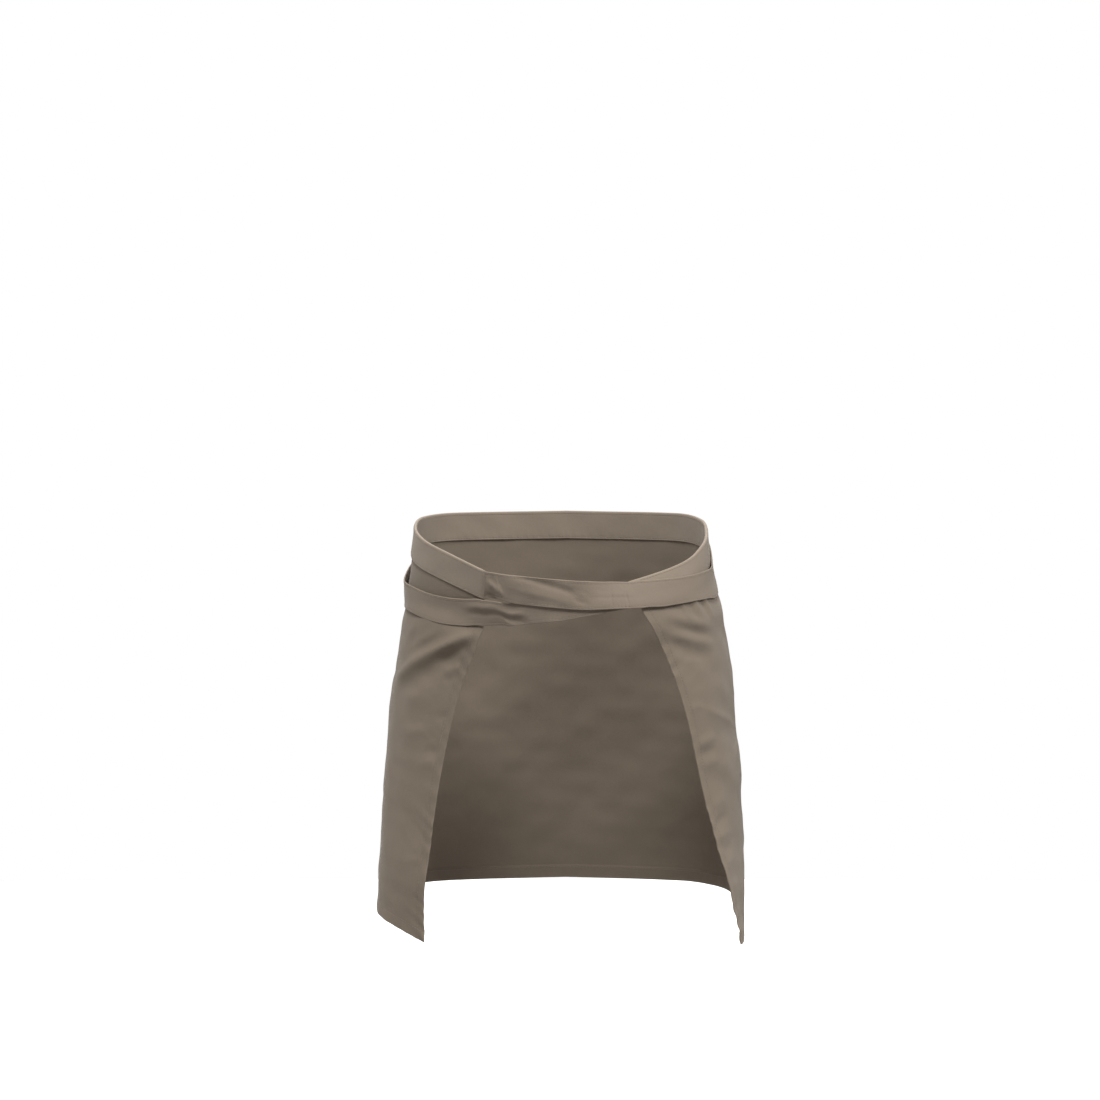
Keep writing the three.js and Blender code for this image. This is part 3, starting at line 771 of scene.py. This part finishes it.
leaf_run = places_between(0, band_height, 1.1 * MM) / band_height
band_run = np.concatenate([-leaf_run[::-1], leaf_run[1:]])
band_across = places_between(-half_panel, half_panel, 2.2 * MM)
across, run = np.meshgrid(band_across, band_run, indexing="ij")
band_edge = np.minimum(np.abs(run), 1 - np.abs(run)) * band_height
waistband = make_wall(
    "waistband_cloth", band_skin(across, run, 1), band_skin(across, run, -1), across,
    run * band_height, rubbed_edge(band_edge, 1.0 * MM), "band_cloth",
)
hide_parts("waistband")

# %% [markdown]
# ## The two ties
#
# Each tie is a strip folded in four and stitched along both edges, so it is flat, even and firmer
# than the panel. The left one lies over the right one behind. A tie stands a little off the cloth
# where it rounds the sides, and it buckles in long shallow creases where the two cross. Straight
# strips could be bent over the form, but here each tie's route is a table: how far its upper edge
# lies under the apron's top line, how tall it shows, and how far out each edge lies.

# %% Routes of the ties
left_tie_route = {
    "way": [
        1, 1.04, 1.15, 1.22, 2, 2.06, 2.12, 2.18, 2.24, 2.3, 2.38, 2.5, 2.65, 2.8, 2.9, 3,
    ],
    "top": [
        0, 0, 0, 0, 0.05, 0.2, 0.35, 0.49, 0.64, 0.84, 0.93, 0.61, 0.2, 0.05, 0.05, 0.18,
    ],
    "height": [
        1, 0.93, 0.95, 1, 1.03, 1.01, 0.95, 0.93, 0.99, 1.12, 1.2, 1.13, 1.06, 1, 0.9, 0.64,
    ],
    "out_top": [0, 0, 0.7, 0.72, 1, 1, 1, 1.1, 1.3, 1.6, 0.95, 0.88, 0.95, 1, 1, 1],
    "out_bottom": [
        0, 0, 0.65, 0.66, 0.9, 0.9, 0.86, 0.8, 0.74, 0.66, 0.63, 0.85, 1, 1, 1, 1,
    ],
    "knot": [0] * 14 + [0.15, 1],
}
right_tie_route = {
    "way": [
        0, 0.1, 0.2, 0.35, 0.5, 0.64, 0.7, 0.76, 0.82, 0.88, 0.94, 1, 1.03, 1.15, 1.24, 1.36,
        1.5, 1.78, 2,
    ],
    "top": [
        0.18, 0.07, 0.34, 0.85, 1.45, 1.88, 1.79, 1.71, 1.65, 1.51, 1.27, 1, 0.99, 1.02, 0.82,
        0.61, 0.46, 0.15, 0,
    ],
    "height": [
        0.64, 0.9, 1.02, 1.06, 1.02, 0.97, 0.95, 0.95, 0.96, 1, 1.02, 0.97, 0.93, 0.82, 0.91,
        0.98, 1, 1, 1,
    ],
    "out_top": [
        1, 1, 0.95, 0.9, 1.05, 1.9, 1.95, 1.6, 1.25, 1.05, 1, 1, 0.9, 0, 0, 0, 0,
        0, 0,
    ],
    "out_bottom": [
        1, 1, 1, 0.95, 0.75, 0.62, 0.62, 0.61, 0.6, 0.6, 0.62, 0.68, 0.75, 0, 0, 0, 0,
        0, 0,
    ],
    "knot": [1, 0.15] + [0] * 17,
}
knot_width = 34 * MM
knot_height = 32 * MM
knot_out = 9.7 * MM
tie_thickness = 1.5 * MM
tie_stitch_inset = 2.3 * MM
tie_pucker_pitch = 7.5 * MM
tie_pucker_fade = 4 * MM
# Creases of each tie. Columns: start and end as millimetres along the way from the front and down
# the tie, then height and breadth in millimetres.
left_tie_folds = [
    (352, 9, 398, 22, 2.3, 4.2),
    (346, 23, 388, 31, -2.2, 4.6),
    (380, -4, 590, 14.5, -1.7, 4.0),
    (374, 2, 392, 22, 0.8, 3),
    (400, 12, 560, 22, 0.7, 4),
    (548, 10, 594, 15, 0.6, 2.8),
    (552, 18, 596, 22, -0.5, 2.6),
    (646, 8, 640, 30, -0.4, 2.2),
    (678, 10, 672, 30, -0.4, 2.2),
    (600, 16, 700, 17.5, -0.3, 1.6),
]
right_tie_folds = [
    (326, 8, 380, 7, 1.3, 3.5),
    (370, 7, 450, 18, 1.4, 3.5),
    (332, 15, 390, 14.5, -1.1, 3.2),
    (382, 14.5, 452, 27, -1.5, 3.6),
    (392, 20, 424, 28, 0.5, 2),
]
print(len(left_tie_folds) + len(right_tie_folds), "creases in the ties")


# %% The ties' surface
def edge_puckers(along, share, edge, height, seed):
    """Puckers along the stitched edges of a strip: sines along it whose phase drifts, and that fade
    inwards as exp(-edge / fade)."""
    drift = 2 * soft_waves(along, share, 50 * MM, seed)
    wave = np.sin(2 * np.pi * along / tie_pucker_pitch + drift)
    return height * wave * np.exp(-edge / tie_pucker_fade)


def strip_grid(start, stop):
    """The grid of a strip: lengths along it, shares of its width, and distances from its edges."""
    along = places_between(start, stop, 1.9 * MM)
    share = places_between(0, tie_width, 1.15 * MM) / tie_width
    along, share = np.meshgrid(along, share, indexing="ij")
    return along, share, np.minimum(share, 1 - share) * tie_width


def tie_face(route, folds, seed, way, share, face):
    """A point of a tie's outer (face 1) or inner (face -1) side. share goes from its upper edge (0)
    to its lower edge (1). Near the knot it is gathered in pleats, sines across it."""
    height = read_table(route, "height", way) * tie_width
    down = read_table(route, "top", way) * tie_width + share * height
    lying = mix(read_table(route, "out_top", way), read_table(route, "out_bottom", way), share)
    gathered = read_table(route, "knot", way)
    along = way * half_panel
    edge = np.minimum(share, 1 - share) * height
    uneven = 0.25 * MM * soft_waves(along, share * tie_width, 24 * MM, seed, stretch=2.5)
    pleats = 1.0 * MM * np.sin(2.5 * np.pi * (2 * share - 1)) * gathered**0.5
    uneven = uneven + pleats + edge_puckers(along, share, edge, 0.1 * MM, seed + 1)
    uneven = uneven + ridges(folds, along, share * tie_width)
    half = edge_round(edge, tie_thickness) - groove_depth * stitch_groove(edge - tie_stitch_inset)
    return on_form(way, down, mix(lying * out_step, knot_out, gathered) + uneven + face * half)


def make_tie(name, route, folds, seed, start, stop):
    """One tie as a closed wall, from its end of the band to the knot."""
    along, share, edge = strip_grid(start * half_panel, stop * half_panel)
    faces = (tie_face(route, folds, seed, along / half_panel, share, face) for face in (1, -1))
    return make_wall(name, *faces, along, share * tie_width, rubbed_edge(edge), "tie_cloth")


# %% Make the ties
tie_seam_gap = 0.3 * MM
into_knot = knot_width / 4 / half_panel
# Each tie's route, creases, seed, and where it starts and stops along the way
ties = {
    "left_tie": (left_tie_route, left_tie_folds, 21, 1 + tie_seam_gap / half_panel, 3 - into_knot),
    "right_tie": (right_tie_route, right_tie_folds, 31, into_knot, 2 - tie_seam_gap / half_panel),
}
left_tie, right_tie = (make_tie(name, *tie) for name, tie in ties.items())
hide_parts("tie_left")
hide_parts("tie_right")

# %% [markdown]
# ## The knot in front
#
# In front the two ties are tied in a plain flat knot. The photo doesn't show it, so it is made as
# such knots are: each tie is gathered to about half its width, passes over the other, turns round
# the back of it and comes out below. A knot could be made as two curves with a round section, but
# folded cloth in a knot is flat and creased along its length. So each turn is a strap carried over
# an arc, curled at its edges, on a small creased core that closes the gaps between them.

# %% Directions at the knot
knot_middle = on_form(0, band_height / 2, knot_out)
knot_outward = outward_at(0, band_height / 2, 1)
knot_upward = np.array([0.0, 0.0, 1.0])
knot_sideways = np.cross(knot_upward, knot_outward)
knot_sideways /= np.linalg.norm(knot_sideways)


def at_knot(sideways, upward, outward):
    """A point given by its distances from the middle of the knot."""
    place = sideways[..., None] * knot_sideways + upward[..., None] * knot_upward
    return knot_middle + place + outward[..., None] * knot_outward


print("middle of the knot:", np.round(knot_middle, 4).tolist())


# %% Straps wound over the knot
turn_end = math.radians(118)
turn_crease_pitch = 5.8 * MM
turn_edge = 1.6 * MM


def make_turn(name, lean, reach, height, width, seed):
    """A strap over the knot. Its middle line is half of a rounded oval, reach sin(a) along its
    length and height cos(a) outwards. It leans to one side, its edges curl down by x squared, and
    a few long creases run along it, sin(x) fading to both edges."""
    a = np.linspace(-turn_end, turn_end, 60)
    x = places_between(-width / 2, width / 2, 0.6 * MM)
    a, x = np.meshgrid(a, x, indexing="ij")
    gathered = 1 - 0.22 * np.sin(a) ** 2
    curl = (2 * x / width) ** 2
    drift = 1.2 * soft_waves(a * reach, x, 30 * MM, seed, stretch=2)
    creases = 0.5 * MM * np.sin(2 * np.pi * x / turn_crease_pitch + drift) * (1 - curl)
    creases = creases + 0.14 * MM * soft_waves(a * reach, x, 9 * MM, seed + 1, stretch=3)
    creases = creases * smooth_step(math.radians(112), math.radians(50), np.abs(a))
    edge = width / 2 - np.abs(x)
    half = edge_round(edge, turn_edge)
    faces = []
    for face in (1, -1):
        out = creases - 1.5 * MM * curl + face * half
        along = (reach + out) * np.sign(np.sin(a)) * np.abs(np.sin(a)) ** 0.8
        outward = (height + out) * np.sign(np.cos(a)) * np.abs(np.cos(a)) ** 0.8
        aside = x * gathered + 0.9 * MM * np.sin(1.3 * a + seed)
        sideways = along * math.sin(lean) + aside * math.cos(lean)
        upward = along * math.cos(lean) - aside * math.sin(lean)
        faces.append(at_knot(sideways, upward, outward))
    return make_wall(name, *faces, a * reach, x, rubbed_edge(edge), "knot_cloth")


def make_core(name, width, height, depth):
    """The gathered cloth inside the knot: a rounded pad, |x|^3 + |y|^3 + |z|^3 = 1, with creases
    that run sideways."""
    around = np.linspace(0, 2 * np.pi, 72, endpoint=False)
    rise = np.linspace(-0.5, 0.5, 33) * np.pi * 0.985
    rise, around = np.meshgrid(rise, around, indexing="ij")
    ray = np.stack([np.cos(rise) * np.cos(around), np.sin(rise), np.cos(rise) * np.sin(around)])
    ray = ray / (np.abs(ray) ** 3).sum(axis=0) ** (1 / 3)
    swell = 1 + 0.03 * soft_waves(ray[0] * width, ray[1] * height, 10 * MM, 51, stretch=3)
    place = at_knot(*(swell * ray * np.array([width, height, depth])[:, None, None] / 2))
    rows, columns = rise.shape
    flat = np.stack([around * width / 4, rise * height / 2], -1).reshape(-1, 2)
    return make_piece(
        name, place.reshape(-1, 3), wall_faces(rows, columns // 2), flat, np.zeros(rise.size),
        "knot_cloth",
    )


knot_core = make_core("knot_core", 25 * MM, 21 * MM, 10 * MM)
over_turn = make_turn("knot_over_turn", math.radians(-18), 13.4 * MM, 6.6 * MM, 15 * MM, 61)
under_turn = make_turn("knot_under_turn", math.radians(58), 14.0 * MM, 4.0 * MM, 18 * MM, 71)
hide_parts("front_knot")

# %% [markdown]
# ## The two free ends
#
# Under the knot the ends of the ties hang down over the front of the panel. Each comes out of the
# knot gathered into a few pleats, opens to its full width within a third of its length, and hangs
# with a slow twist. Its end is turned in and stitched. A cloth simulation could drop it, but a
# strip that hangs free is so plain that sines along and across it do the same.

# %% Make the free ends
tail_out = 6.0 * MM
tail_top = band_height / 2 + knot_height / 2
tail_into_knot = 9 * MM


def tail_face(side, length, seed, down, share, face):
    """A point of a free end. It leans out from the knot as down^0.7, and its pleats are sines
    across it that fade as it opens."""
    run = np.clip(down / length, 0, 1)
    opened = smooth_step(0, 0.3, run)
    middle = side * mix(knot_width / 6, knot_width, run**0.7)
    half_width = mix(knot_width / 6, tie_width / 2, opened)
    x = 2 * share - 1
    pleats = 1.1 * MM * np.sin(2.4 * np.pi * x + side) * (1 - opened)
    twist = 1.8 * MM * x * np.sin(2 * np.pi * run * 0.9 + side) * opened
    sway = 1.2 * MM * np.sin(2 * np.pi * run * 1.3 + 2 * side) * opened
    uneven = 0.3 * MM * soft_waves(down, share * tie_width, 26 * MM, seed, stretch=2)
    edge = np.minimum(np.minimum(share, 1 - share) * tie_width, length - down)
    groove = stitch_groove(edge - tie_stitch_inset) * opened
    half = edge_round(edge, tie_thickness) - groove_depth * groove
    out = mix(knot_out, tail_out, opened) + pleats + twist + sway + uneven
    out = out + edge_puckers(down, share, edge, 0.12 * MM, seed + 1) + face * half
    way = (middle + x * half_width + sway) / half_panel
    return on_form(way, tail_top + down, out)


def make_tail(name, side, length, seed):
    """One free end as a closed wall, from inside the knot to its stitched end."""
    down, share, edge = strip_grid(-tail_into_knot, length)
    faces = (tail_face(side, length, seed, down, share, face) for face in (1, -1))
    worn = rubbed_edge(np.minimum(edge, length - down))
    return make_wall(name, *faces, down, share * tie_width, worn, "tie_cloth")


# Each free end's side of the knot, length and seed
tails = {"left_tail": (1, left_tail_length, 81), "right_tail": (-1, right_tail_length, 91)}
left_tail, right_tail = (make_tail(name, *tail) for name, tail in tails.items())
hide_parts("tail_left")
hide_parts("tail_right")

# %% [markdown]
# ## Stitches
#
# A lockstitch shows on both sides as a row of short threads, about three millimetres each, that dip
# into the cloth at both ends. They could be painted as a dashed line, but they catch the light, so
# each is a small bent capsule. All the stitches of a piece are worked out together as one array and
# joined in one mesh.

# %% One stitch, repeated along lines
stitch_pitch = 3.3 * MM
stitch_length = 2.7 * MM
thread_radius = 0.27 * MM
capsule_sides = 6
capsule_along = np.array([-0.5, -0.28, 0.28, 0.5])
capsule_swell = np.array([0.45, 1.0, 1.0, 0.45])
capsule_rise = np.array([-0.14, 0.1, 0.1, -0.14]) * MM


def capsule_faces():
    """Quads of one capsule: bands between its rings, and two quads over each end."""
    rings = len(capsule_along)
    end = np.array([[0, 1, 2, 3], [0, 3, 4, 5]])
    far = end[:, ::-1] + (rings - 1) * capsule_sides
    return np.concatenate([quads_between(rings, capsule_sides), end, far])


def spaced(line, outward):
    """Start, end and outward direction of each stitch on a line of close points, at even steps of
    its running length."""
    length = np.concatenate([[0], np.cumsum(np.linalg.norm(np.diff(line, axis=0), axis=1))])
    count = int(length[-1] / stitch_pitch)
    centre = (np.arange(count) + 0.5) * length[-1] / count

    def read(grid, at):
        return np.stack([np.interp(at, length, grid[:, axis]) for axis in range(3)], -1)

    start = read(line, centre - stitch_length / 2)
    end = read(line, centre + stitch_length / 2)
    return start, end, read(outward, centre)


def make_stitches(name, lines, slot_name):
    """All the stitches along some lines, joined in one mesh of small capsules."""
    start, end, outward = (np.concatenate(part) for part in zip(*(spaced(*line) for line in lines)))
    middle = (start + end) / 2
    along = end - start
    side = np.cross(along, outward)
    side /= np.linalg.norm(side, axis=-1, keepdims=True)
    turn = 2 * np.pi * np.arange(capsule_sides) / capsule_sides
    ring = thread_radius * capsule_swell[:, None]
    place = middle[:, None, None] + capsule_along[:, None, None] * along[:, None, None]
    place = place + (ring * np.cos(turn))[..., None] * side[:, None, None]
    lift = ring * np.sin(turn) + capsule_rise[:, None]
    place = place + lift[..., None] * outward[:, None, None]
    points = place.reshape(-1, 3)
    first = np.arange(len(start)) * len(capsule_along) * capsule_sides
    faces = (capsule_faces() + first[:, None, None]).reshape(-1, 4)
    flat = np.stack([points[:, 0] + points[:, 1], points[:, 2]], -1)
    return make_piece(name, points, faces, flat, np.zeros(len(points)), slot_name, "thread")


# %% Stitches of the panel
line_points = 2000
line_end_gap = 2 * MM
side_line = half_panel - side_hem_width + stitch_inset
foot_line = panel_drop - bottom_hem_width + stitch_inset
side_down = np.linspace(band_height + line_end_gap, panel_drop - line_end_gap, line_points)
foot_across = np.linspace(-half_panel + line_end_gap, half_panel - line_end_gap, line_points)
panel_lines = []
for face in (1, -1):
    for across, down in ((side_line, side_down), (-side_line, side_down), (foot_across, foot_line)):
        across, down = np.broadcast_arrays(across, down)
        outward = outward_at(across / half_panel, down, face)
        panel_lines.append((panel_face(across, down, face), outward))
panel_stitches = make_stitches("panel_stitches", panel_lines, "panel_cloth")

# %% Stitches of the band
band_end_gap = 1.5 * MM
band_lines = []
across = np.linspace(-half_panel + band_end_gap, half_panel - band_end_gap, line_points)
for face in (1, -1):
    for down in (band_stitch_inset, band_height - band_stitch_inset):
        run = np.full(line_points, face * down / band_height)
        band_lines.append((band_skin(across, run, 1), outward_at(across / half_panel, down, face)))
    run = face * np.linspace(0.1, 0.9, line_points)
    for side in (1, -1):
        beside = np.full(line_points, side * (half_panel - band_stitch_inset))
        outward = outward_at(beside / half_panel, band_height / 2, face)
        band_lines.append((band_skin(beside, run, 1), outward + 0 * run[:, None]))
band_stitches = make_stitches("band_stitches", band_lines, "band_cloth")

# %% Stitches of the ties and their ends
clear_of_knot = 2.2 * into_knot
tie_lines = []
edge_shares = (tie_stitch_inset / tie_width, 1 - tie_stitch_inset / tie_width)
for route, folds, seed, start, stop in ties.values():
    way = np.linspace(max(start, clear_of_knot), min(stop, 3 - clear_of_knot), line_points)
    for edge_share in edge_shares:
        share = np.full(line_points, edge_share)
        height = read_table(route, "height", way) * tie_width
        down = read_table(route, "top", way) * tie_width + share * height
        for face in (1, -1):
            line = tie_face(route, folds, seed, way, share, face)
            tie_lines.append((line, outward_at(way, down, face)))
tie_stitches = make_stitches("tie_stitches", tie_lines, "tie_cloth")

first_down = 12 * MM
last_gap = 2.5 * MM
turned_end = 5 * MM
tail_lines = []
for side, length, seed in tails.values():
    way = side * knot_width / half_panel
    edges = [(np.linspace(first_down, length - last_gap, line_points), at) for at in edge_shares]
    across_end = (length - turned_end, np.linspace(0.1, 0.9, line_points))
    for face in (1, -1):
        for down, share in (*edges, across_end):
            down, share = np.broadcast_arrays(down, share)
            line = tail_face(side, length, seed, down, share, face)
            tail_lines.append((line, outward_at(way, tail_top + down, face)))
tail_stitches = make_stitches("tail_stitches", tail_lines, "tie_cloth")

# %% [markdown]
# ## The sheets of cloth
#
# The panel, the band, the ties and the free ends are sheets of cloth.

print("six sheets of cloth")
